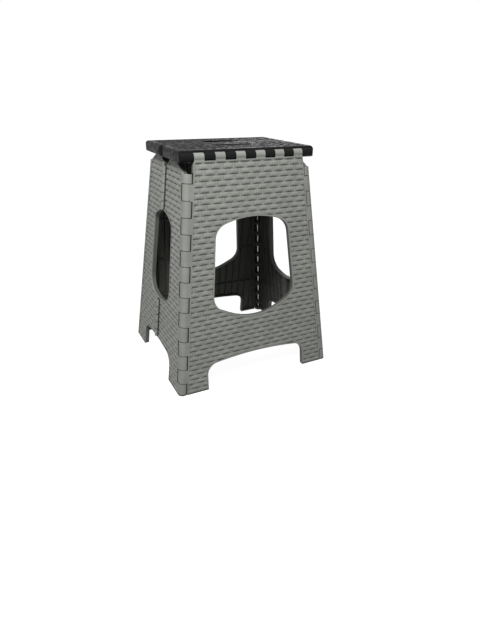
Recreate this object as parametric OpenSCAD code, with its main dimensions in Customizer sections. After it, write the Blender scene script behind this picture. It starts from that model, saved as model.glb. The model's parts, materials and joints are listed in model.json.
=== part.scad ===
/* [Stool] */
// Height of the seat's top above the floor
stool_h = 450; // [430:1:480]
// Width over the feet of the two wide panels
base_w = 350; // [330:1:370]
// Depth over the feet of the two end walls
base_d = 309; // [295:1:325]
// Lean of the wide front and rear panels, in degrees
wide_lean = 7.1; // [6.5:0.1:8]
// Lean of the two end walls, in degrees
end_lean = 6.5; // [6:0.1:7.5]

/* [Panels] */
// Full depth of each moulded panel, walls and skin together
panel_t = 9.5; // [7.5:0.1:9.7]
// Thickness of the outer skin
skin_t = 3; // [2.4:0.1:4]
// Thickness of the walls round each panel and opening
wall_t = 3; // [2:0.1:4]
// Height of the stiffening ribs, measured from the outer face
rib_h = 7; // [5:0.1:7.3]
// Thickness of the stiffening ribs
rib_t = 1.8; // [1.2:0.1:2.5]
// Distance between the upright ribs
rib_pitch = 18; // [15:0.5:24]
// Distance between the cross ribs
cross_pitch = 95; // [80:1:120]
// Depth of the shallow field that the woven pattern fills
field_t = 1.5; // [0.6:0.1:1.7]
// Smooth border between that field and any edge
border_w = 3; // [2:0.5:5]

/* [Wide panel window] */
// Distance from the top of the panel down to the window, along the slope
window_drop = 108; // [100:0.1:118]
// Height of the window's lowest point
window_low = 139.6; // [130:0.1:150]
// Width at its upper corners
window_top_w = 152; // [140:1:165]
// Width at its lower corners
window_low_w = 180; // [170:1:190]
// Radius of its four corners
window_r = 30; // [20:1:32]
// Radius of its gently arched top
window_crown_r = 175; // [150:1:200]
// Radius of its bowed bottom
window_belly_r = 122; // [100:1:140]
// Height of the arch between the feet of a wide panel
wide_arch_h = 60.8; // [50:0.1:75]
// Width of that arch at the floor
wide_arch_w = 227; // [215:1:235]
// Radius of the top of that arch
wide_arch_crown_r = 700; // [500:10:900]

/* [End wall] */
// Distance from the top of the wall down to the oval, along the slope
oval_drop = 98.8; // [94:0.1:110]
// Height of the oval's lowest point
oval_low = 150; // [140:0.5:160]
// Width of the oval near its top
oval_top_w = 100; // [90:1:104]
// Width of the oval near its bottom
oval_low_w = 120; // [110:1:126]
// Radius of the oval's upper corners
oval_top_r = 22; // [16:1:26]
// Radius of the oval's lower corners
oval_low_r = 32; // [24:1:36]
// Height of the arch between the feet of an end wall
end_arch_h = 59.4; // [50:0.1:75]
// Width of that arch at the floor
end_arch_w = 173; // [160:1:185]
// Radius of the top of that arch
end_arch_crown_r = 500; // [400:10:700]
// Radius of the upper corners of all four arches
arch_r = 24; // [18:1:28]
// Gap between the top of an end wall and the seat
seat_gap = 1.6; // [1:0.1:4]
// Depth of the notch at the middle of the wall's top
notch_depth = 13; // [8:0.5:16]
// Width of that notch at its open top
notch_top_w = 52; // [40:1:60]
// Width of that notch at its bottom
notch_low_w = 18; // [12:1:24]
// Distance that the wall's sloping shoulder comes in from the corner hinge
shoulder_in = 35; // [25:1:42]
// Arc steps on each rounded corner of an outline
arc_steps = 8; // [4:1:12]

/* [Hinges] */
// Radius of the corner barrels, also their axes' depth below the outer faces
barrel_r = 10; // [9.8:0.1:10.5]
// Radius of the barrels along the top of each wide panel and along the seat
seat_barrel_r = 8.2; // [7.8:0.1:8.6]
// Depth of their axes below the wide panels' outer faces
seat_axis_depth = 7.2; // [6.8:0.1:7.6]
// Depth of their axes below the seat's top
seat_axis_drop = 11.8; // [11:0.1:12.4]
// Clearance round a barrel in the notch that it turns in
barrel_gap = 1.4; // [0.8:0.1:1.6]
// Gap between the ends of neighbouring barrels
end_gap = 1.1; // [0.4:0.1:1.4]
// Gap between the two halves of the stack when folded
fold_gap = 0.4; // [0.3:0.05:0.8]
// Thickness of a barrel's hollow shell and end webs
shell_t = 2.6; // [2:0.1:3]
// Distance from the seat's top down to the top of the corner hinges
corner_drop = 38; // [32:1:44]
// Height of the lowest barrel on each end wall
low_barrel_h = 24; // [18:1:30]
// Height of the highest barrel on each end wall
top_barrel_h = 16.4; // [12:0.1:22]
// Barrels between those two on each corner
corner_barrels = 13; // [9:2:15]
// Barrels along the top of each wide panel, its own and the seat's
top_barrels = 11; // [7:2:13]
// Radius of the small barrels down the middle of an end wall
mid_barrel_r = 5; // [4:0.1:6]
// Clearance round those small barrels
mid_barrel_gap = 0.8; // [0.6:0.1:1.2]
// Slot between the ends of two neighbours among them
mid_end_gap = 1.8; // [0.8:0.1:2.4]
// Barrels in each group down the middle of an end wall
mid_barrels = 5; // [3:2:7]
// Distance from a group's ends to the openings above and below it
mid_margin = 2; // [1:0.5:4]
// Gap between the two panels of an end wall
mid_split = 0.6; // [0.4:0.1:1]

/* [Pins] */
// Radius of the corner and seat pins
pin_r = 2; // [1.5:0.1:2.5]
// Radius of the pins down the middle of an end wall
mid_pin_r = 1.5; // [1.2:0.1:1.8]
// Running clearance between a pin and its bore, on the radius
pin_fit = 0.05; // [0.02:0.01:0.1]
// Extra clearance in the bores that stay loose so that the stool can fold
loose_fit = 0.4; // [0.35:0.05:0.6]
// Gap past each end of a pin in its blind bore
pin_end_gap = 0.5; // [0.3:0.1:1]
// Distance from the end of a row of barrels to the end of its pin
pin_inset = 4; // [3:0.5:5]

/* [Seat] */
// Length of the seat along its hinges
seat_w = 271; // [262:1:280]
// Thickness of each seat half
seat_t = 19.4; // [18:0.1:19.6]
// Thickness of the seat's top skin
seat_skin_t = 3.4; // [2.8:0.1:4.5]
// Height of the ribs under the seat, measured from its top
seat_rib_h = 14; // [10:0.5:16]
// Gap between the two halves along the middle
seat_split = 0.8; // [0.6:0.1:1.2]
// Radius of the corners next to the middle
seat_corner_r = 13; // [8:1:18]
// Radius of the corners next to the hinges
lobe_r = 6; // [4:1:9]
// Radius along the upper edges
seat_edge_r = 5.5; // [3:0.5:6]
// Radius along the lower edges
seat_under_r = 4; // [1:0.5:5]
// Overhang of the seat's rim past its hinge axes
seat_lip = 3; // [2:0.1:4]
// Bevel under the edge along the middle
seat_bevel = 3; // [2.6:0.1:4]
// Depth of the field that the seat's pattern fills
seat_field_t = 0.9; // [0.5:0.1:1.2]
// Smooth border between that field and the seat's outline
seat_border = 12; // [9:0.5:15]

/* [Grip] */
// Length of the grip hole in each half
grip_w = 84; // [76:1:92]
// Width of the grip hole
grip_d = 21; // [18:1:24]
// Width of the bar between the grip hole and the middle
grip_bar = 27; // [24:1:30]
// Radius of the hole's corners next to the bar
grip_bar_r = 6; // [4:1:8]
// Radius of its corners away from the bar
grip_r = 15; // [10:1:17]
// Depth of the dish that leads into the hole
dish_t = 4.5; // [3:0.5:6]
// Radius of the dish's floor
dish_r = 45; // [35:1:60]
// Smooth surface round the hole and the dish
dish_margin = 8; // [5:0.5:12]

/* [Seat middle hinge] */
// Distance from the stool's middle to the first lug
lug_start = 51; // [48:1:56]
// Width of each lug
lug_w = 11; // [9:0.5:12]
// Lugs in each of the two groups
lugs = 5; // [3:2:5]
// Radius of the front half's lugs
lug_r = 6; // [5:0.1:6.5]
// Radius of the rear half's lugs, which have the wide bores
wide_lug_r = 6.6; // [6.4:0.1:7]
// Clearance round the lugs
lug_gap = 0.5; // [0.4:0.1:0.8]
// How far the rear half's lugs and bores sit off the axis, away from the middle
slack_out = 1.75; // [1.5:0.05:1.9]
// How far they sit above the axis
slack_up = 2; // [1.9:0.05:2.3]

/* [Hidden] */
$fn = 48;

// Slopes of the outlines' arched tops and bowed bottoms where they meet the corners, in degrees
window_crown_slope = 17;
window_belly_slope = 26;
oval_crown_slope = 25;
oval_belly_slope = 12;
wide_arch_slope = 6.5;
end_arch_slope = 6;
// Radii of the oval's top and bottom as shares of its widths
oval_crown_share = 0.7;
oval_belly_share = 0.83;
// Inward lean of an arch's sides between the floor and its top, as a share of its width
arch_taper_share = 0.02;

// Overrun of cuts past the faces that they open
over = panel_t / 4;
// Distance that a panel's flat face stops short of the line where it would touch its barrels
seam_share = 0.06;
seam_in = barrel_r * seam_share;

// Corner hinge axis: a point at floor level and its lean
corner_x = base_w / 2 - barrel_r / cos(end_lean);
corner_y = base_d / 2 - barrel_r / cos(wide_lean);
axis_tilt = atan(norm([tan(end_lean), tan(wide_lean)]));
axis_turn = atan2(tan(wide_lean), tan(end_lean));
// Slopes of that axis within the wide panel and within the end wall
wide_slope = tan(end_lean) * cos(wide_lean);
end_slope = tan(wide_lean) * cos(end_lean);
// Reach of a barrel's notch at the outer face, from the barrel's axis
notch_reach = sqrt(pow(barrel_r + barrel_gap, 2) - pow(barrel_r, 2));
// Width of the solid rails that carry the corner and seat hinges
rail_w = barrel_r + barrel_gap + wall_t;

// Levels between the corner barrels, as distances up the hinge axis
corner_top = stool_h - corner_drop;
barrel_pitch = (corner_top - low_barrel_h - top_barrel_h) / corner_barrels;
last_level = corner_barrels + 2;
levels = [
    for (k = [0 : last_level])
        (k == 0 ? -over : k == last_level ? corner_top : low_barrel_h + (k - 1) * barrel_pitch)
            / cos(axis_tilt)
];

// Seat hinge axis above a wide panel, and the height up the panel's face that is level with it
seat_axis_z = stool_h - seat_axis_drop;
seat_axis_y = base_d / 2 - seat_axis_z * tan(wide_lean) - seat_axis_depth / cos(wide_lean);
panel_top = seat_axis_z / cos(wide_lean) + seat_axis_depth * tan(wide_lean);
window_top = panel_top - window_drop;
top_half_w = edge_x(panel_top) - notch_reach;
top_pitch = 2 * top_half_w / top_barrels;
// Axis of the hinge along the middle of the seat, below the seat's underside. Its drop below the seat hinge axes
// is their distance from the middle of the folded stool.
middle_z = seat_axis_z - (2 * barrel_r + fold_gap / 2 - seat_axis_depth);

// End wall heights, up its slope
wall_top = (stool_h - seat_t - seat_gap) / cos(end_lean);
oval_top = wall_top - oval_drop;
shoulder_z = corner_top / cos(end_lean);
notch_z = wall_top - notch_depth;
// Step in the side of a wide panel, beside the highest end wall barrel
step_z = (corner_top - top_barrel_h / 2) / cos(wide_lean);

grey = "#8d9189";
black = "#1c1c1e";
steel = "#b9bcc0";

// Half widths of the wide panel and of the end wall, out to the corner hinge axis, at a height up the slope
function edge_x(z) = corner_x - (z - barrel_r * tan(wide_lean)) * wide_slope;
function edge_u(z) = corner_y - (z - barrel_r * tan(end_lean)) * end_slope;

// Outline tools: outlines run anticlockwise
function unit(v) = v / norm(v);
function outward(a, b) = let (d = unit(b - a)) [d[1], -d[0]];
function before(pts, i) = pts[(i + len(pts) - 1) % len(pts)];
function after(pts, i) = pts[(i + 1) % len(pts)];
function grown(pts, w) = [
    for (i = [0 : len(pts) - 1])
        let (m = outward(before(pts, i), pts[i]), n = outward(pts[i], after(pts, i)))
            pts[i] + w * (m + n) / (1 + m * n)
];
function corner_arc(a, p, b, r) =
    let (u = unit(a - p), v = unit(b - p), half = acos(u * v) / 2,
         c = p + unit(u + v) * r / sin(half), s = p + u * r / tan(half) - c, e = p + v * r / tan(half) - c,
         from = atan2(s[1], s[0]), turn = (atan2(e[1], e[0]) - from + 540) % 360 - 180)
        [for (k = [0 : arc_steps]) let (a = from + turn * k / arc_steps) c + r * [cos(a), sin(a)]];
function rounded(pts, radii) = [
    for (i = [0 : len(pts) - 1])
        each (radii[i] > 0 ? corner_arc(before(pts, i), pts[i], after(pts, i), radii[i]) : [pts[i]])
];
// An opening's outline moved out by w, with its rounded corners kept concentric
function opening(pts, radii, w) = rounded(grown(pts, w), [for (r = radii) r > 0 ? r + w : 0]);
// Height of the sharp point that an arc of radius r rounds off
function apex(r, slope) = r * (1 / cos(slope) - 1);
// Corner points of an opening with a bowed bottom and an arched top
function bay(low, top, low_w, top_w, low_r, low_slope, top_r, top_slope) =
    let (lo = low - apex(low_r, low_slope), hi = top + apex(top_r, top_slope),
         lz = lo + tan(low_slope) * low_w / 2, hz = hi - tan(top_slope) * top_w / 2)
        [[0, lo], [low_w / 2, lz], [top_w / 2, hz], [0, hi], [-top_w / 2, hz], [-low_w / 2, lz]];
function arch(h, w, top_r, slope) =
    let (hi = h + apex(top_r, slope), half = w / 2 - w * arch_taper_share / 2, hz = hi - tan(slope) * half)
        [[-w / 2, -h], [w / 2, -h], [half, hz], [0, hi], [-half, hz]];

window = bay(window_low, window_top, window_low_w, window_top_w,
             window_belly_r, window_belly_slope, window_crown_r, window_crown_slope);
window_radii = [window_belly_r, window_r, window_r, window_crown_r, window_r, window_r];
oval_crown_r = oval_top_w * oval_crown_share;
oval_belly_r = oval_low_w * oval_belly_share;
oval = bay(oval_low, oval_top, oval_low_w, oval_top_w,
           oval_belly_r, oval_belly_slope, oval_crown_r, oval_crown_slope);
oval_radii = [oval_belly_r, oval_low_r, oval_top_r, oval_crown_r, oval_top_r, oval_low_r];
wide_arch = arch(wide_arch_h, wide_arch_w, wide_arch_crown_r, wide_arch_slope);
wide_arch_radii = [0, 0, arch_r, wide_arch_crown_r, arch_r];
end_arch = arch(end_arch_h, end_arch_w, end_arch_crown_r, end_arch_slope);
end_arch_radii = [0, 0, arch_r, end_arch_crown_r, arch_r];

// Places: depth runs in from each outer face
module on_wide() translate([0, -base_d / 2, 0]) rotate([-wide_lean, 0, 0]) children();
module on_end() translate([-base_w / 2, 0, 0]) rotate([0, end_lean, 0]) children();
module on_corner() translate([-corner_x, -corner_y, 0]) rotate([0, axis_tilt, axis_turn]) children();
module wide_slab(from, to) mirror([0, 1, 0]) rotate([90, 0, 0]) translate([0, 0, from])
    linear_extrude(to - from) children();
module end_slab(from, to) mirror([0, 1, 0]) rotate([90, 0, 90]) translate([0, 0, from])
    linear_extrude(to - from) children();
module both_ends() {
    children();
    mirror([1, 0, 0]) children();
}
module both_sides() {
    children();
    mirror([0, 0, 1]) children();
}
module below_floor() translate([-base_w, -base_d, -stool_h]) cube([2 * base_w, 2 * base_d, stool_h]);

// Shell of a moulded panel: a skin with walls behind its edges, ribs, and a shallow field on its face.
// Children: the whole outline, the hollow behind the skin, the ribs, the field.
module moulding(wide) {
    difference() {
        slab(wide, 0, panel_t) children(0);
        slab(wide, rib_h, panel_t + over) children(1);
        slab(wide, skin_t, rib_h + over / 2) difference() {
            children(1);
            children(2);
        }
        slab(wide, -over, field_t) children(3);
    }
}
module slab(wide, from, to) {
    if (wide) wide_slab(from, to) children();
    else end_slab(from, to) children();
}
module rib_lines(half_w, low, high) {
    for (x = [rib_pitch / 2 : rib_pitch : half_w], s = [-1, 1])
        translate([s * x - rib_t / 2, low]) square([rib_t, high - low]);
    for (z = [low + cross_pitch : cross_pitch : high])
        translate([-half_w, z - rib_t / 2]) square([2 * half_w, rib_t]);
}

// Rows of hinge barrels along +Z, and what is cut for them
module barrel(r, from, to) translate([0, 0, from]) cylinder(r = r, h = to - from);
module corner_row(first, r, trim) {
    for (k = [first : 2 : corner_barrels + 1]) barrel(r, levels[k] + trim, levels[k + 1] - trim);
}
module corner_hollows(first) {
    bore = barrel_r - shell_t;
    for (k = [first : 2 : corner_barrels + 1]) {
        from = max(levels[k], pin_inset) + end_gap / 2 + shell_t;
        to = levels[k + 1] - end_gap / 2 - shell_t;
        barrel(bore, from, to);
        translate([0, -bore, from]) cube([2 * barrel_r, 2 * bore, to - from]);
    }
}
module corner_bore(r, gap) barrel(r, pin_inset - gap, levels[last_level] - pin_inset + gap);

module wide_outline(side_in, low, high) {
    polygon([
        [-edge_x(low) + side_in, low], [edge_x(low) - side_in, low],
        [edge_x(high) - side_in, high], [-edge_x(high) + side_in, high]
    ]);
}
module wide_openings(w) {
    polygon(opening(window, window_radii, w));
    polygon(opening(wide_arch, wide_arch_radii, w));
}
module wide_panel_shell() {
    on_wide() moulding(true) {
        difference() {
            union() {
                wide_outline(seam_in, -panel_t, step_z);
                wide_outline(notch_reach, step_z - over, panel_top);
            }
            wide_openings(0);
        }
        difference() {
            wide_outline(rail_w, wall_t + panel_t * tan(wide_lean), panel_top - rail_w);
            wide_openings(wall_t);
        }
        rib_lines(base_w / 2, 0, panel_top);
        difference() {
            wide_outline(notch_reach + border_w, border_w, panel_top - notch_reach - border_w);
            wide_openings(border_w);
        }
    }
}
module at_seat_axis() translate([0, -seat_axis_y, seat_axis_z]) rotate([0, 90, 0]) children();
module top_row(first, r, trim) {
    for (k = [first : 2 : top_barrels - 1])
        barrel(r, -top_half_w + k * top_pitch + trim, -top_half_w + (k + 1) * top_pitch - trim);
}
// The seat's end barrels, past both ends of the row
module top_lobes(r, trim) both_sides() barrel(r, top_half_w + trim, base_w / 2);
module wide_panel() color(grey) difference() {
    union() {
        wide_panel_shell();
        both_ends() on_corner() corner_row(1, barrel_r, end_gap / 2);
        at_seat_axis() top_row(0, seat_barrel_r, end_gap / 2);
    }
    both_ends() on_corner() {
        corner_row(0, barrel_r + barrel_gap, -end_gap / 2);
        corner_hollows(1);
        corner_bore(pin_r + pin_fit, pin_end_gap);
    }
    at_seat_axis() {
        top_row(1, seat_barrel_r + barrel_gap, -end_gap / 2);
        top_lobes(seat_barrel_r + barrel_gap, -end_gap / 2);
        seat_bore(pin_r + pin_fit, pin_end_gap);
    }
    below_floor();
}

// One half of an end wall, in place at the left front; u runs out from the wall's middle
module end_outline() {
    shoulder = edge_u(shoulder_z);
    polygon([
        [mid_split / 2, -panel_t], [edge_u(-panel_t) - seam_in, -panel_t], [shoulder - seam_in, shoulder_z],
        [shoulder - shoulder_in, wall_top], [notch_top_w / 2, wall_top],
        [notch_low_w / 2, notch_z], [mid_split / 2, notch_z]
    ]);
}
module end_field(side_in, mid_in, low, top_in) {
    side_z = shoulder_z - top_in;
    high = wall_top - top_in;
    polygon([
        [mid_in, low], [edge_u(low) - side_in, low], [edge_u(side_z) - side_in, side_z],
        [edge_u(shoulder_z) - shoulder_in - top_in / 2, high], [notch_top_w / 2 + top_in / 2, high],
        [notch_low_w / 2 + top_in / 2, notch_z - top_in], [mid_in, notch_z - top_in]
    ]);
}
module end_openings(w) {
    polygon(opening(oval, oval_radii, w));
    polygon(opening(end_arch, end_arch_radii, w));
}
// Reach of a small barrel's notch from the wall's middle
mid_reach = mid_barrel_r + mid_barrel_gap;
// The two groups of small barrels down the middle: [from, to] up the wall
groups = [
    [end_arch_h + mid_margin, oval_low - mid_margin],
    [oval_top + mid_margin, notch_z - mid_margin / 2]
];
module at_middle() on_end() translate([-fold_gap / 2, 0, 0]) children();
module middle_rows(first, r, trim) {
    for (g = groups) {
        step = (g[1] - g[0]) / mid_barrels;
        for (k = [first : 2 : mid_barrels - 1])
            barrel(r, g[0] + k * step + trim, g[0] + (k + 1) * step - trim);
    }
}
module middle_bores(r, gap) {
    for (g = groups) barrel(r, g[0] + pin_inset - gap, g[1] - pin_inset + gap);
}
module end_panel(first, loose) color(grey) difference() {
    union() {
        on_end() moulding(false) {
            difference() {
                end_outline();
                end_openings(0);
            }
            difference() {
                end_field(rail_w, mid_reach + wall_t, wall_t + panel_t * tan(end_lean), wall_t);
                end_openings(wall_t);
            }
            rib_lines(base_d / 2, 0, wall_top);
            difference() {
                end_field(notch_reach + border_w, mid_reach + border_w / 2, border_w, border_w);
                end_openings(border_w);
            }
        }
        on_corner() corner_row(0, barrel_r, end_gap / 2);
        at_middle() middle_rows(first, mid_barrel_r, mid_end_gap / 2);
    }
    on_corner() {
        corner_row(1, barrel_r + barrel_gap, -end_gap / 2);
        corner_hollows(0);
        corner_bore(pin_r + pin_fit, pin_end_gap);
    }
    at_middle() {
        middle_rows(1 - first, mid_reach, -mid_end_gap / 2);
        middle_bores(mid_pin_r + pin_fit + loose, pin_end_gap + loose);
    }
    below_floor();
}

// Front half of the seat
seat_half_w = seat_w / 2;
seat_out = seat_axis_y + seat_barrel_r;
grip_y = grip_bar + grip_d / 2;
dish_half_w = grip_w / 2 + dish_margin / 2;
dish_long_r = (pow(dish_half_w, 2) + pow(dish_t, 2)) / (2 * dish_t);
module seat_plan(w) {
    inner = -seat_split / 2;
    polygon(opening(
        [[-seat_half_w, -seat_out], [seat_half_w, -seat_out], [seat_half_w, inner], [-seat_half_w, inner]],
        [lobe_r, lobe_r, seat_corner_r, seat_corner_r], w));
}
module seat_envelope() intersection() {
    translate([0, 0, stool_h - 2 * seat_t]) linear_extrude(2 * seat_t) seat_plan(0);
    rotate([90, 0, 90]) translate([0, 0, -seat_w]) linear_extrude(2 * seat_w) union() {
        translate([-seat_axis_y, seat_axis_z]) circle(r = seat_barrel_r);
        polygon(rounded(
            [[-seat_axis_y, stool_h - seat_t], [-seat_split / 2 - seat_bevel, stool_h - seat_t],
             [-seat_split / 2, stool_h - seat_t + seat_bevel], [-seat_split / 2, stool_h],
             [-seat_axis_y - seat_lip, stool_h], [-seat_axis_y - seat_lip, seat_axis_z]],
            [0, 0, 0, seat_edge_r, seat_edge_r, 0]));
    }
    rotate([90, 0, 0]) linear_extrude(base_d) polygon(rounded(
        [[-seat_half_w, seat_axis_z - seat_barrel_r], [seat_half_w, seat_axis_z - seat_barrel_r],
         [seat_half_w, stool_h], [-seat_half_w, stool_h]],
        [seat_under_r, seat_under_r, seat_edge_r, seat_edge_r]));
}
module grip_hole(w) {
    polygon(opening(
        [[-grip_w / 2 + grip_r, -grip_bar - grip_d], [grip_w / 2 - grip_r, -grip_bar - grip_d],
         [grip_w / 2, -grip_bar], [-grip_w / 2, -grip_bar]],
        [grip_r, grip_r, grip_bar_r, grip_bar_r], w));
}
// The dish is where two troughs cross, one along the hole and one across it, so it fades out all round
module grip_dish() intersection() {
    translate([-grip_w, -grip_y, stool_h - seat_t]) cube([2 * grip_w, grip_y, 2 * seat_t]);
    translate([-grip_w, -grip_y, stool_h + dish_r - dish_t]) rotate([0, 90, 0])
        cylinder(r = dish_r, h = 2 * grip_w);
    translate([0, 0, stool_h + dish_long_r - dish_t]) rotate([90, 0, 0])
        cylinder(r = dish_long_r, h = 2 * grip_y);
}
module seat_hollow() difference() {
    half = seat_half_w - wall_t;
    inner = -seat_split / 2 - wall_t - seat_bevel;
    outer = -seat_axis_y + rail_w;
    r = seat_corner_r - wall_t;
    polygon(rounded([[-half, outer], [half, outer], [half, inner], [-half, inner]], [0, 0, r, r]));
    grip_hole(wall_t);
}
module seat_ribs() {
    for (x = [rib_pitch / 2 : rib_pitch : seat_half_w], s = [-1, 1])
        translate([s * x - rib_t / 2, -seat_out]) square([rib_t, seat_out]);
    translate([-seat_half_w, -grip_y - grip_d / 2 - rib_pitch / 2]) square([seat_w, rib_t]);
}
module seat_field() difference() {
    intersection() {
        seat_plan(-seat_border);
        translate([-seat_half_w, -seat_axis_y + notch_reach + border_w]) square([seat_w, seat_axis_y]);
    }
    grip_hole(border_w);
    translate([-grip_w / 2 - dish_margin, -grip_y]) square([grip_w + 2 * dish_margin, grip_y]);
}
module seat_shell() difference() {
    seat_envelope();
    translate([0, 0, stool_h - 2 * seat_t]) linear_extrude(2 * seat_t - seat_rib_h) seat_hollow();
    translate([0, 0, stool_h - 2 * seat_t]) linear_extrude(2 * seat_t - seat_skin_t) difference() {
        seat_hollow();
        seat_ribs();
    }
    translate([0, 0, stool_h - seat_field_t]) linear_extrude(seat_t) seat_field();
    translate([0, 0, stool_h - 2 * seat_t]) linear_extrude(3 * seat_t) grip_hole(0);
    grip_dish();
}
module seat_bore(r, gap) barrel(r, -seat_half_w + pin_inset - gap, seat_half_w - pin_inset + gap);

// Lugs of the hinge along the middle, along +Z from the stool's middle
module lug_row(first, r, trim) {
    for (k = [first : 2 : lugs - 1])
        barrel(r, lug_start + k * lug_w + trim, lug_start + (k + 1) * lug_w - trim);
}
module lug_webs(first, r, out, up) {
    low = middle_z + up;
    for (k = [first : 2 : lugs - 1])
        translate([lug_start + k * lug_w + end_gap / 2, -out - r, low])
            cube([lug_w - end_gap, out + r - seat_split / 2, stool_h - seat_edge_r - low]);
}
module at_seat_middle(out, up) translate([0, -out, middle_z + up]) rotate([0, 90, 0]) children();
// Half the drift of the two halves against each other as they fold, as a radius about the wide bore's centre
slack = norm([slack_out, slack_up]) + pin_fit;
module seat_half(first, own_r, other_r, out, up, bore_r) color(black) difference() {
    union() {
        seat_shell();
        both_ends() {
            at_seat_middle(out, up) lug_row(first, own_r, end_gap / 2);
            lug_webs(first, own_r, out, up);
        }
    }
    at_seat_axis() {
        top_row(0, seat_barrel_r + barrel_gap, -end_gap / 2);
        seat_bore(pin_r + pin_fit, pin_end_gap);
    }
    both_ends() at_seat_middle(out, up) {
        lug_row(1 - first, other_r + lug_gap + slack, -end_gap / 2);
        middle_seat_bore(bore_r, pin_end_gap);
    }
}
module middle_seat_bore(r, gap)
    barrel(r, lug_start + pin_inset - gap, lug_start + lugs * lug_w - pin_inset + gap);

// Pins
module corner_pin() color(steel) on_corner() corner_bore(pin_r, 0);
module middle_pin(group) color(steel) at_middle()
    barrel(mid_pin_r, groups[group][0] + pin_inset, groups[group][1] - pin_inset);
module seat_pin() color(steel) at_seat_axis() seat_bore(pin_r, 0);
module seat_middle_pin() color(steel) at_seat_middle(0, 0) middle_seat_bore(pin_r, 0);

wide_panel();  // front_panel
mirror([0, 1, 0]) wide_panel();  // rear_panel
end_panel(0, 0);  // left_front_side
mirror([0, 1, 0]) end_panel(1, 0);  // left_rear_side
mirror([1, 0, 0]) end_panel(0, 0);  // right_front_side
mirror([1, 0, 0]) mirror([0, 1, 0]) end_panel(1, loose_fit);  // right_rear_side
seat_half(0, lug_r, wide_lug_r, 0, 0, pin_r + pin_fit);  // front_seat_half
mirror([0, 1, 0]) seat_half(1, wide_lug_r, lug_r, slack_out, slack_up, pin_r + pin_fit + slack);  // rear_seat_half
corner_pin();  // front_left_corner_pin
mirror([0, 1, 0]) corner_pin();  // rear_left_corner_pin
mirror([1, 0, 0]) corner_pin();  // front_right_corner_pin
mirror([1, 0, 0]) mirror([0, 1, 0]) corner_pin();  // rear_right_corner_pin
middle_pin(1);  // left_upper_middle_pin
middle_pin(0);  // left_lower_middle_pin
mirror([1, 0, 0]) middle_pin(1);  // right_upper_middle_pin
mirror([1, 0, 0]) middle_pin(0);  // right_lower_middle_pin
seat_pin();  // front_seat_pin
mirror([0, 1, 0]) seat_pin();  // rear_seat_pin
mirror([1, 0, 0]) seat_middle_pin();  // left_seat_middle_pin
seat_middle_pin();  // right_seat_middle_pin
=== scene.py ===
"""A folding step stool in two moulded plastics, with a woven relief on every panel and on the seat.

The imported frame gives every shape. This script fills the panels' shallow fields with the woven relief,
and adds the finishes, the light and the camera.
"""

import json
import math

import bpy
import numpy as np
from mathutils import Matrix, Vector


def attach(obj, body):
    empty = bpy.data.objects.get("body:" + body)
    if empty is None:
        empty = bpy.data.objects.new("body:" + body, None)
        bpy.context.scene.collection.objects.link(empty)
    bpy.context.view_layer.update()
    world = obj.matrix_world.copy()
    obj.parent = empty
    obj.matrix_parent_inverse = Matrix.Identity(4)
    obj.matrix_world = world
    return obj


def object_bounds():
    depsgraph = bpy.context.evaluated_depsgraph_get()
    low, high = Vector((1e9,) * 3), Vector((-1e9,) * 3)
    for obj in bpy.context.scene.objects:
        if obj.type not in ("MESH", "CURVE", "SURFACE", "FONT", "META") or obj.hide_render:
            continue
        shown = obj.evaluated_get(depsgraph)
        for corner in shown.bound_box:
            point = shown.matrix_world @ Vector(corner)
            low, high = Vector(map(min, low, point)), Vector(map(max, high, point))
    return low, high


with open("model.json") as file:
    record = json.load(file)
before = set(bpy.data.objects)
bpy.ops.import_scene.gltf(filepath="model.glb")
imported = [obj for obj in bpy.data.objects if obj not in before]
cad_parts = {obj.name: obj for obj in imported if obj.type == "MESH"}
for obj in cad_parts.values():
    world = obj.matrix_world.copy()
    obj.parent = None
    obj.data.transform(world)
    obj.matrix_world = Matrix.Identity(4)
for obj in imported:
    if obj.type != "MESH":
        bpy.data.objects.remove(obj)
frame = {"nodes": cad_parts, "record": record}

CAD_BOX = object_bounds()
MM = 0.001

# Driving sizes, from the frame and from the part's own values
BASE_W = CAD_BOX[1].x - CAD_BOX[0].x
BASE_D = CAD_BOX[1].y - CAD_BOX[0].y
HEIGHT = CAD_BOX[1].z
WIDE_LEAN = math.radians(7.1)
END_LEAN = math.radians(6.5)
PANEL_FIELD = 1.5 * MM
SEAT_FIELD = 0.9 * MM
# From the seat's top down to the tops of the grey barrels that carry it
TOP_BARREL_DROP = 3.6 * MM

# The weave: strands run across, and each goes behind every second upright stake and bulges over the others.
# Its pitches, first of the strands, then of the stakes
PANEL_PITCHES = (9.8 * MM, 11.6 * MM)
SEAT_PITCHES = (9.0 * MM, 10.5 * MM)
# Rise across a strand, from either edge to its middle: place in the pitch, share of the rise
STRAND_SHARES = [(0.0, 0.0), (0.06, 0.04), (0.14, 0.28), (0.24, 0.64), (0.36, 0.9), (0.5, 1.0)]
# A strand's upper edge stays this share higher than its lower one, which hangs over the strand below
UPPER_EDGE_SHARE = 0.5
# Along a strand, from the stake it goes behind to the stake it bulges over: place, height, height of its gap
STAKE_SHARES = [
    (0.0, 0.76, 0.64), (0.08, 0.72, 0.58), (0.14, 0.5, 0.44), (0.23, 0.54, 0.38),
    (0.38, 0.76, 0.24), (0.56, 0.92, 0.09), (0.8, 0.99, 0.0), (1.0, 1.0, 0.0),
]
# Lowest part of the relief above its floor, as a share of the field's depth
LOWEST_SHARE = 0.07
# Creases of the relief that are steeper than this stay sharp
SHARP_ANGLE = math.radians(60)
# How far the prism that cuts the relief stands past it on both sides
CUT_MARGIN = 0.5 * MM
# How far off its plane a field's floor may lie, and the step that its corners are rounded to
FLOOR_TOLERANCE = 0.005 * MM
# Keeps a row's lower edge out of the row below
TINY = 1e-9


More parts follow.
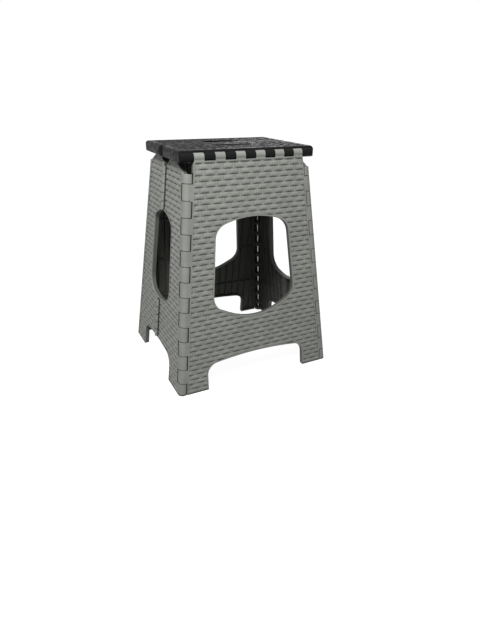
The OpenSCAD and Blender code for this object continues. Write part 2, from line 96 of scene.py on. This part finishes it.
class Face:
    """An outer face of the stool, with distances along it, up it and in from it."""

    def __init__(self, origin, along, up):
        self.origin = np.array(origin)
        along, up = np.array(along), np.array(up)
        self.basis = np.array([along, up, -np.cross(along, up)])

    def measure(self, points):
        return (points - self.origin) @ self.basis.T

    def place(self, measures):
        return self.origin + measures @ self.basis


WIDE_UP = (math.sin(WIDE_LEAN), math.cos(WIDE_LEAN))
END_UP = (math.sin(END_LEAN), math.cos(END_LEAN))
FRONT = Face((0, -BASE_D / 2, 0), (1, 0, 0), (0, WIDE_UP[0], WIDE_UP[1]))
REAR = Face((0, BASE_D / 2, 0), (-1, 0, 0), (0, -WIDE_UP[0], WIDE_UP[1]))
LEFT = Face((-BASE_W / 2, 0, 0), (0, -1, 0), (END_UP[0], 0, END_UP[1]))
RIGHT = Face((BASE_W / 2, 0, 0), (0, 1, 0), (-END_UP[0], 0, END_UP[1]))
TOP = Face((0, 0, HEIGHT), (1, 0, 0), (0, 1, 0))


def new_mesh(name, points, faces):
    mesh = bpy.data.meshes.new(name)
    mesh.from_pydata([tuple(p) for p in points], [], faces)
    obj = bpy.data.objects.new(name, mesh)
    bpy.context.scene.collection.objects.link(obj)
    return obj


def field_prism(node, face, depth):
    """A closed prism that stands on the floor of a node's shallow field."""
    mesh = frame["nodes"][node].data
    mesh.calc_loop_triangles()
    points = np.empty(len(mesh.vertices) * 3, np.float32)
    mesh.vertices.foreach_get("co", points)
    measures = face.measure(points.reshape(-1, 3).astype(float))
    triangles = np.empty(len(mesh.loop_triangles) * 3, np.int32)
    mesh.loop_triangles.foreach_get("vertices", triangles)
    triangles = triangles.reshape(-1, 3)
    on_floor = (np.abs(measures[triangles, 2] - depth) < FLOOR_TOLERANCE).all(axis=1)
    triangles = triangles[on_floor]
    steps = np.round(measures[:, :2] / FLOOR_TOLERANCE).astype(int)
    flat, welded = np.unique(steps, axis=0, return_inverse=True)
    triangles = welded.reshape(-1)[triangles]
    used, triangles = np.unique(triangles, return_inverse=True)
    triangles = triangles.reshape(-1, 3)
    flat = flat[used] * FLOOR_TOLERANCE
    n = len(flat)
    edges = {(t[i], t[(i + 1) % 3]) for t in triangles.tolist() for i in range(3)}
    rim = [(a, b) for a, b in edges if (b, a) not in edges]
    top = np.column_stack([flat, np.full(n, -CUT_MARGIN)])
    low = np.column_stack([flat, np.full(n, depth + CUT_MARGIN)])
    faces = [tuple(t) for t in triangles.tolist()]
    faces += [(c + n, b + n, a + n) for a, b, c in triangles.tolist()]
    faces += [(b, a, a + n, b + n) for a, b in rim]
    span = (flat.min(axis=0), flat.max(axis=0))
    return new_mesh(node + "_field", face.place(np.vstack([top, low])), faces), span


def samples(low, high, pitch, places):
    """Places from low to high, at every share of each pitch and at its mirror image."""
    fractions = sorted({p for p in places if p < 1} | {1 - p for p in places if p > 0})
    first, last = math.floor(low / pitch) - 1, math.ceil(high / pitch) + 1
    return np.array([(k + f) * pitch for k in range(first, last) for f in fractions])


def woven_slab(name, face, span, depth, pitches):
    """A closed slab with the woven relief on its outer side, wider than the field that it is cut to."""
    strand_pitch, stake_pitch = pitches
    strand_place, strand_rise = zip(*STRAND_SHARES)
    stake_place, stake_rise, gap_rise = zip(*STAKE_SHARES)
    u = samples(span[0][0], span[1][0], stake_pitch, stake_place)
    v = samples(span[0][1], span[1][1], strand_pitch, strand_place)
    grid_u, grid_v = np.meshgrid(u, v)
    row = np.floor(grid_v / strand_pitch + TINY)
    across = grid_v / strand_pitch - row
    upper = across > 0.5
    across = np.interp(np.minimum(across, 1 - across), strand_place, strand_rise)
    along = grid_u / (2 * stake_pitch) + 0.5 * (row % 2)
    along = 2 * np.abs(along - np.round(along))
    crown, gap = np.interp(along, stake_place, stake_rise), np.interp(along, stake_place, gap_rise)
    gap += upper * UPPER_EDGE_SHARE * (crown - gap)
    rise = LOWEST_SHARE + (1 - LOWEST_SHARE) * (gap + (crown - gap) * across)
    top = np.column_stack([grid_u.ravel(), grid_v.ravel(), (depth * (1 - rise)).ravel()])
    nu, nv = len(u), len(v)
    index = np.arange(nu * nv).reshape(nv, nu)
    corners = (index[:-1, :-1], index[:-1, 1:], index[1:, 1:], index[1:, :-1])
    faces = np.column_stack([corner.ravel() for corner in corners])
    loop = np.concatenate([index[0, :], index[1:, -1], index[-1, -2::-1], index[-2:0:-1, 0]])
    low = top[loop].copy()
    low[:, 2] = depth
    n = len(loop)
    under = nu * nv + np.arange(n)
    sides = np.column_stack([np.roll(loop, -1), loop, under, np.roll(under, -1)])
    every = faces.tolist() + sides.tolist() + [under[::-1].tolist()]
    return new_mesh(name, face.place(np.vstack([top, low])), every)


def weave(node, body, face, depth, pitches, material):
    """The woven relief of one node, cut to that node's field and riding on its body."""
    prism, span = field_prism(node, face, depth)
    piece = woven_slab(node + "_weave", face, span, depth, pitches)
    cut = piece.modifiers.new("cut", "BOOLEAN")
    cut.operation, cut.solver, cut.object = "INTERSECT", "MANIFOLD", prism
    graph = bpy.context.evaluated_depsgraph_get()
    whole = piece.data
    piece.data = bpy.data.meshes.new_from_object(piece.evaluated_get(graph))
    piece.modifiers.clear()
    bpy.data.meshes.remove(whole)
    bpy.data.objects.remove(prism)
    piece.data.shade_smooth()
    piece.data.set_sharp_from_angle(angle=SHARP_ANGLE)
    piece.data.materials.clear()
    piece.data.materials.append(material)
    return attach(piece, body)


# Finishes: clouds vary the colour and smears the roughness. Each noise has its scale and its detail
CLOUDS, CLOUD_EDGES, CLOUD_SHARES = (38, 4), (0.35, 0.65), (0.93, 1.06)
SMEARS, SMEAR_EDGES = (120, 3), (0.35, 0.65)
GRAIN, GRAIN_DEPTH = (900, 3), 0.05 * MM
EDGE_ROUNDING, EDGE_SAMPLES = 0.1 * MM, 4
# Depths in from the outside, between which faces get painted shade: all of them, and those that look inward
DEEP_SHADE_START, DEEP_SHADE_END = 3.0 * MM, 4.6 * MM
BACK_SHADE_START, BACK_SHADE_END = 0.8 * MM, 2.4 * MM
# A face's level place times its normal, in metres, where it counts as looking inward and where it stops to
INWARD, NOT_INWARD = -0.012, -0.002
# Painted shade in the gaps of the weave: start and end as shares of the field's depth, colour as a share of
# the plastic's own
GAP_START_SHARE, GAP_END_SHARE, GAP_SHADE_SHARE = 0.32, 0.8, 0.26
# Painted shade in the grooves between pieces: reach of their walls, openness where darkest and where they
# end, colour share
GROOVE_REACH, GROOVE_DARKEST, GROOVE_END, GROOVE_SHADE_SHARE = 5 * MM, 0.74, 0.99, 0.08
GROOVE_SAMPLES = 12


class Shader:
    """A material's nodes, with a short way to add and join them."""

    def __init__(self, name):
        self.material = bpy.data.materials.new(name)
        self.material.use_nodes = True
        self.tree = self.material.node_tree
        self.surface = self.tree.nodes["Principled BSDF"]
        self.place = self.add("ShaderNodeTexCoord").outputs["Object"]

    def add(self, kind, **settings):
        node = self.tree.nodes.new(kind)
        for key, value in settings.items():
            setattr(node, key, value)
        return node

    def join(self, socket, value):
        if isinstance(value, bpy.types.NodeSocket):
            self.tree.links.new(value, socket)
        else:
            socket.default_value = value

    def math(self, operation, a, b):
        node = self.add("ShaderNodeMath", operation=operation)
        self.join(node.inputs[0], a)
        self.join(node.inputs[1], b)
        return node.outputs[0]

    def dot(self, vector, other):
        node = self.add("ShaderNodeVectorMath", operation="DOT_PRODUCT")
        self.join(node.inputs[0], vector)
        self.join(node.inputs[1], other)
        return node.outputs["Value"]

    def ramp(self, value, low, high, to_low, to_high):
        node = self.add("ShaderNodeMapRange", interpolation_type="SMOOTHSTEP")
        for socket, v in zip(node.inputs, (value, low, high, to_low, to_high)):
            self.join(socket, v)
        return node.outputs["Result"]

    def blend(self, share, a, b):
        node = self.add("ShaderNodeMix", data_type="RGBA")
        self.join(node.inputs["Factor"], share)
        self.join(node.inputs[6], a)
        self.join(node.inputs[7], b)
        return node.outputs[2]

    def noise(self, scale, detail, vector=None):
        """Cloudy values about a half, in the object's own space unless a vector is given."""
        node = self.add("ShaderNodeTexNoise")
        self.join(node.inputs["Vector"], vector or self.place)
        node.inputs["Scale"].default_value = scale
        node.inputs["Detail"].default_value = detail
        return node.outputs["Fac"]

    def inside(self, top_z):
        """Depth in from the nearest of the stool's sloping faces and the level plane at top_z."""
        positive = self.add("ShaderNodeVectorMath", operation="ABSOLUTE")
        self.join(positive.inputs[0], self.place)
        point = positive.outputs["Vector"]
        wide = self.math("SUBTRACT", BASE_D / 2 * WIDE_UP[1], self.dot(point, (0, WIDE_UP[1], WIDE_UP[0])))
        end = self.math("SUBTRACT", BASE_W / 2 * END_UP[1], self.dot(point, (END_UP[1], 0, END_UP[0])))
        top = self.math("SUBTRACT", top_z, self.dot(point, (0, 0, 1)))
        return self.math("MINIMUM", self.math("MINIMUM", wide, end), top)

    def turned_in(self):
        """1 on faces that look towards the stool's upright middle line, 0 on those that look away from it."""
        spaces = {"vector_type": "NORMAL", "convert_from": "WORLD", "convert_to": "OBJECT"}
        to_object = self.add("ShaderNodeVectorTransform", **spaces)
        self.join(to_object.inputs[0], self.add("ShaderNodeNewGeometry").outputs["Normal"])
        level = self.add("ShaderNodeVectorMath", operation="MULTIPLY")
        self.join(level.inputs[0], self.place)
        level.inputs[1].default_value = (1, 1, 0)
        outward = self.dot(level.outputs["Vector"], to_object.outputs[0])
        return self.ramp(outward, INWARD, NOT_INWARD, 1, 0)

    def openness(self, reach):
        """1 where nothing stands within that reach, less in narrow grooves."""
        node = self.add("ShaderNodeAmbientOcclusion", samples=GROOVE_SAMPLES)
        node.inputs["Distance"].default_value = reach
        return node.outputs["AO"]

    def grain(self):
        """Fine moulded grain over slightly rounded edges."""
        rounded = self.add("ShaderNodeBevel", samples=EDGE_SAMPLES)
        rounded.inputs["Radius"].default_value = EDGE_ROUNDING
        bump = self.add("ShaderNodeBump")
        bump.inputs["Distance"].default_value = GRAIN_DEPTH
        self.join(bump.inputs["Height"], self.noise(*GRAIN))
        self.join(bump.inputs["Normal"], rounded.outputs["Normal"])
        self.join(self.surface.inputs["Normal"], bump.outputs["Normal"])


def shade(colour, share):
    return tuple(c * share for c in colour) + (1.0,)


def plastic(name, colour, rough, shine):
    """The shader of a moulded plastic between two roughnesses, with its cloudy colour still to be joined."""
    s = Shader(name)
    clouds = s.ramp(s.noise(*CLOUDS), *CLOUD_EDGES, 0, 1)
    cloudy = s.blend(clouds, *(shade(colour, share) for share in CLOUD_SHARES))
    s.join(s.surface.inputs["Roughness"], s.ramp(s.noise(*SMEARS), *SMEAR_EDGES, *rough))
    s.surface.inputs["Specular IOR Level"].default_value = shine
    s.grain()
    return s, cloudy


def body_plastic(name, colour, rough, shine, top_z, inner_shade_share):
    """Moulded plastic with painted shade: darker in narrow grooves and on the faces inside the stool, below
    top_z.
    """
    s, cloudy = plastic(name, colour, rough, shine)
    inside = s.inside(top_z)
    # Painted shade: faces deep inside the stool, and faces there that look inward, get a darker copy of the
    # plastic's colour
    deep = s.ramp(inside, DEEP_SHADE_START, DEEP_SHADE_END, 0, 1)
    back = s.math("MULTIPLY", s.turned_in(), s.ramp(inside, BACK_SHADE_START, BACK_SHADE_END, 0, 1))
    within = s.math("MAXIMUM", deep, back)
    # Painted shade in narrow grooves, where the ambient occlusion finds walls close by
    grooves = s.ramp(s.openness(GROOVE_REACH), GROOVE_DARKEST, GROOVE_END, 1, 0)
    outer = s.blend(grooves, cloudy, shade(colour, GROOVE_SHADE_SHARE))
    s.join(s.surface.inputs["Base Color"], s.blend(within, outer, shade(colour, inner_shade_share)))
    return s.material


def woven_plastic(name, colour, rough, shine, field):
    """Moulded plastic with painted shade low down in the gaps of a weave as deep as field."""
    s, cloudy = plastic(name, colour, rough, shine)
    # Painted shade: the low parts of the weave's gaps get a darker copy of the plastic's colour
    gaps = s.ramp(s.inside(HEIGHT), field * GAP_START_SHARE, field * GAP_END_SHARE, 0, 1)
    s.join(s.surface.inputs["Base Color"], s.blend(gaps, cloudy, shade(colour, GAP_SHADE_SHARE)))
    return s.material


# Drawn steel: its lines, their stretch along the upright, two colours and two roughnesses
STREAKS, STREAK_EDGES, STREAK_STRETCH = (2200, 2), (0.3, 0.7), 0.04
STEEL_COLOURS = ((0.42, 0.42, 0.43, 1), (0.6, 0.6, 0.61, 1))
STEEL_ROUGH = (0.28, 0.42)


def drawn_steel(name):
    """Wire that was drawn through a die, with fine lines along it."""
    s = Shader(name)
    lines = s.add("ShaderNodeVectorMath", operation="MULTIPLY")
    s.join(lines.inputs[0], s.place)
    lines.inputs[1].default_value = (1, 1, STREAK_STRETCH)
    streaks = s.noise(*STREAKS, lines.outputs["Vector"])
    s.join(s.surface.inputs["Base Color"], s.blend(streaks, *STEEL_COLOURS))
    s.join(s.surface.inputs["Roughness"], s.ramp(streaks, *STREAK_EDGES, *STEEL_ROUGH))
    s.surface.inputs["Metallic"].default_value = 1
    return s.material


# Colours, then the two roughnesses and the shine of each plastic, then the colour shares of the painted shade
# on the inner faces
WOVEN_GREY, SMOOTH_GREY = (0.272, 0.282, 0.258), (0.256, 0.266, 0.243)
BLACK = (0.007, 0.007, 0.0075)
GREY_LOOK = ((0.5, 0.62), 0.22)
BLACK_LOOK = ((0.36, 0.66), 0.09)
WOVEN_BLACK_LOOK = ((0.36, 0.74), 0.06)
GREY_INNER_SHADE, BLACK_INNER_SHADE = 0.38, 0.6
BARREL_TOP = HEIGHT - TOP_BARREL_DROP
GREY_SLOT, BLACK_SLOT, STEEL_SLOT = "grey_plastic", "black_plastic", "pin_steel"

finishes = {
    GREY_SLOT: body_plastic(GREY_SLOT, SMOOTH_GREY, *GREY_LOOK, BARREL_TOP, GREY_INNER_SHADE),
    BLACK_SLOT: body_plastic(BLACK_SLOT, BLACK, *BLACK_LOOK, HEIGHT, BLACK_INNER_SHADE),
    STEEL_SLOT: drawn_steel(STEEL_SLOT),
}
grey_weave = woven_plastic("grey_weave", WOVEN_GREY, *GREY_LOOK, PANEL_FIELD)
black_weave = woven_plastic("black_weave", BLACK, *WOVEN_BLACK_LOOK, SEAT_FIELD)

slots = {s["node"]: s["material_slot"] for s in frame["record"]["subparts"]}
for node, obj in frame["nodes"].items():
    obj.data.materials.clear()
    obj.data.materials.append(finishes[slots[node]])

# The outer face of each panel, whose body has the same name, and the body of each half of the seat
PANEL_FACES = {
    "front_panel": FRONT,
    "rear_panel": REAR,
    "left_front_side": LEFT,
    "left_rear_side": LEFT,
    "right_front_side": RIGHT,
    "right_rear_side": RIGHT,
}
SEAT_BODIES = {"front_seat_half": "front_seat", "rear_seat_half": "rear_seat"}
for node, face in PANEL_FACES.items():
    weave(node, node, face, PANEL_FIELD, PANEL_PITCHES, grey_weave)
for node, body in SEAT_BODIES.items():
    weave(node, body, TOP, SEAT_FIELD, SEAT_PITCHES, black_weave)

# Light and background: a white room that shows as white and lights the stool softly
AMBIENT = 0.2
# The floor: how far it reaches and lies below the feet, its own grey, and its glow as the camera sees it
FLOOR_HALF, FLOOR_DROP = 6.0, 0.2 * MM
FLOOR_GREY, FLOOR_ROUGH, FLOOR_SHINE = 0.22, 0.9, 0.1
FLOOR_LIFT = 0.96
# Each lamp: place and size in metres, share of full light at the stool's middle
LAMPS = {
    "key_light": ((-0.58, -0.74, 1.36), 0.5, 1.08),
    "back_light": ((0.85, 1.3, 0.7), 0.5, 0.07),
}


def seen_directly(tree):
    """1 for what the camera sees, also in gloss and through glass, and 0 for light on its way to things."""
    path = tree.nodes.new("ShaderNodeLightPath")
    total = path.outputs["Is Camera Ray"]
    for other in ("Is Glossy Ray", "Is Transmission Ray"):
        node = tree.nodes.new("ShaderNodeMath")
        node.operation, node.use_clamp = "ADD", True
        tree.links.new(total, node.inputs[0])
        tree.links.new(path.outputs[other], node.inputs[1])
        total = node.outputs[0]
    return total


world = bpy.data.worlds.new("studio")
bpy.context.scene.world = world
world.use_nodes = True
room = world.node_tree.nodes["Background"]
backdrop = world.node_tree.nodes.new("ShaderNodeMix")
backdrop.data_type = "RGBA"
backdrop.inputs[6].default_value = (AMBIENT, AMBIENT, AMBIENT, 1)
backdrop.inputs[7].default_value = (1, 1, 1, 1)
world.node_tree.links.new(seen_directly(world.node_tree), backdrop.inputs["Factor"])
world.node_tree.links.new(backdrop.outputs[2], room.inputs["Color"])

floor_corners = [(x * FLOOR_HALF, y * FLOOR_HALF, 0) for x, y in ((-1, -1), (1, -1), (1, 1), (-1, 1))]
floor = new_mesh("floor", floor_corners, [(0, 1, 2, 3)])
floor.location.z = -FLOOR_DROP
floor_shader = Shader("pale_floor")
floor_shader.surface.inputs["Base Color"].default_value = (FLOOR_GREY, FLOOR_GREY, FLOOR_GREY, 1)
floor_shader.surface.inputs["Roughness"].default_value = FLOOR_ROUGH
floor_shader.surface.inputs["Specular IOR Level"].default_value = FLOOR_SHINE
floor_shader.surface.inputs["Emission Color"].default_value = (1, 1, 1, 1)
lift = floor_shader.math("MULTIPLY", seen_directly(floor_shader.tree), FLOOR_LIFT)
floor_shader.join(floor_shader.surface.inputs["Emission Strength"], lift)
floor.data.materials.append(floor_shader.material)

TARGET = Vector((0, 0, HEIGHT / 2))


def lamp(name, place, size, share):
    """A soft square lamp that adds that share of full light at the stool's middle."""
    data = bpy.data.lights.new(name, "AREA")
    offset = Vector(place) - TARGET
    data.shape, data.size = "SQUARE", size
    data.energy = share * math.pi**2 * offset.length_squared
    obj = bpy.data.objects.new(name, data)
    obj.matrix_world = Matrix.Translation(place) @ offset.to_track_quat("Z", "Y").to_matrix().to_4x4()
    bpy.context.scene.collection.objects.link(obj)


for name, values in LAMPS.items():
    lamp(name, *values)

# Camera, from the photograph: place in metres, angles in degrees, focal length in pixels of the tall frame
EYE = Vector((-0.4070, -0.8645, 0.5427))
YAW, PITCH, ROLL = (math.radians(a) for a in (27.039, -26.644, 0.942))
FOCAL_PX, FRAME_LONG_PX = 458.9, 640
SENSOR_MM = 36
CLIP_NEAR, CLIP_FAR = 0.02, 40
ahead = Vector((math.sin(YAW) * math.cos(PITCH), math.cos(YAW) * math.cos(PITCH), math.sin(PITCH)))
level = Vector((math.cos(YAW), -math.sin(YAW), 0))
upright = level.cross(ahead)
right = level * math.cos(ROLL) + upright * math.sin(ROLL)
up = upright * math.cos(ROLL) - level * math.sin(ROLL)
camera = bpy.data.objects.new("camera", bpy.data.cameras.new("camera"))
camera.data.sensor_width = SENSOR_MM
camera.data.lens = FOCAL_PX * camera.data.sensor_width / FRAME_LONG_PX
camera.data.clip_start, camera.data.clip_end = CLIP_NEAR, CLIP_FAR
camera.matrix_world = Matrix.Translation(EYE) @ Matrix((right, up, -ahead)).transposed().to_4x4()
bpy.context.scene.collection.objects.link(camera)
bpy.context.scene.camera = camera
bpy.context.scene.view_settings.view_transform = "Standard"
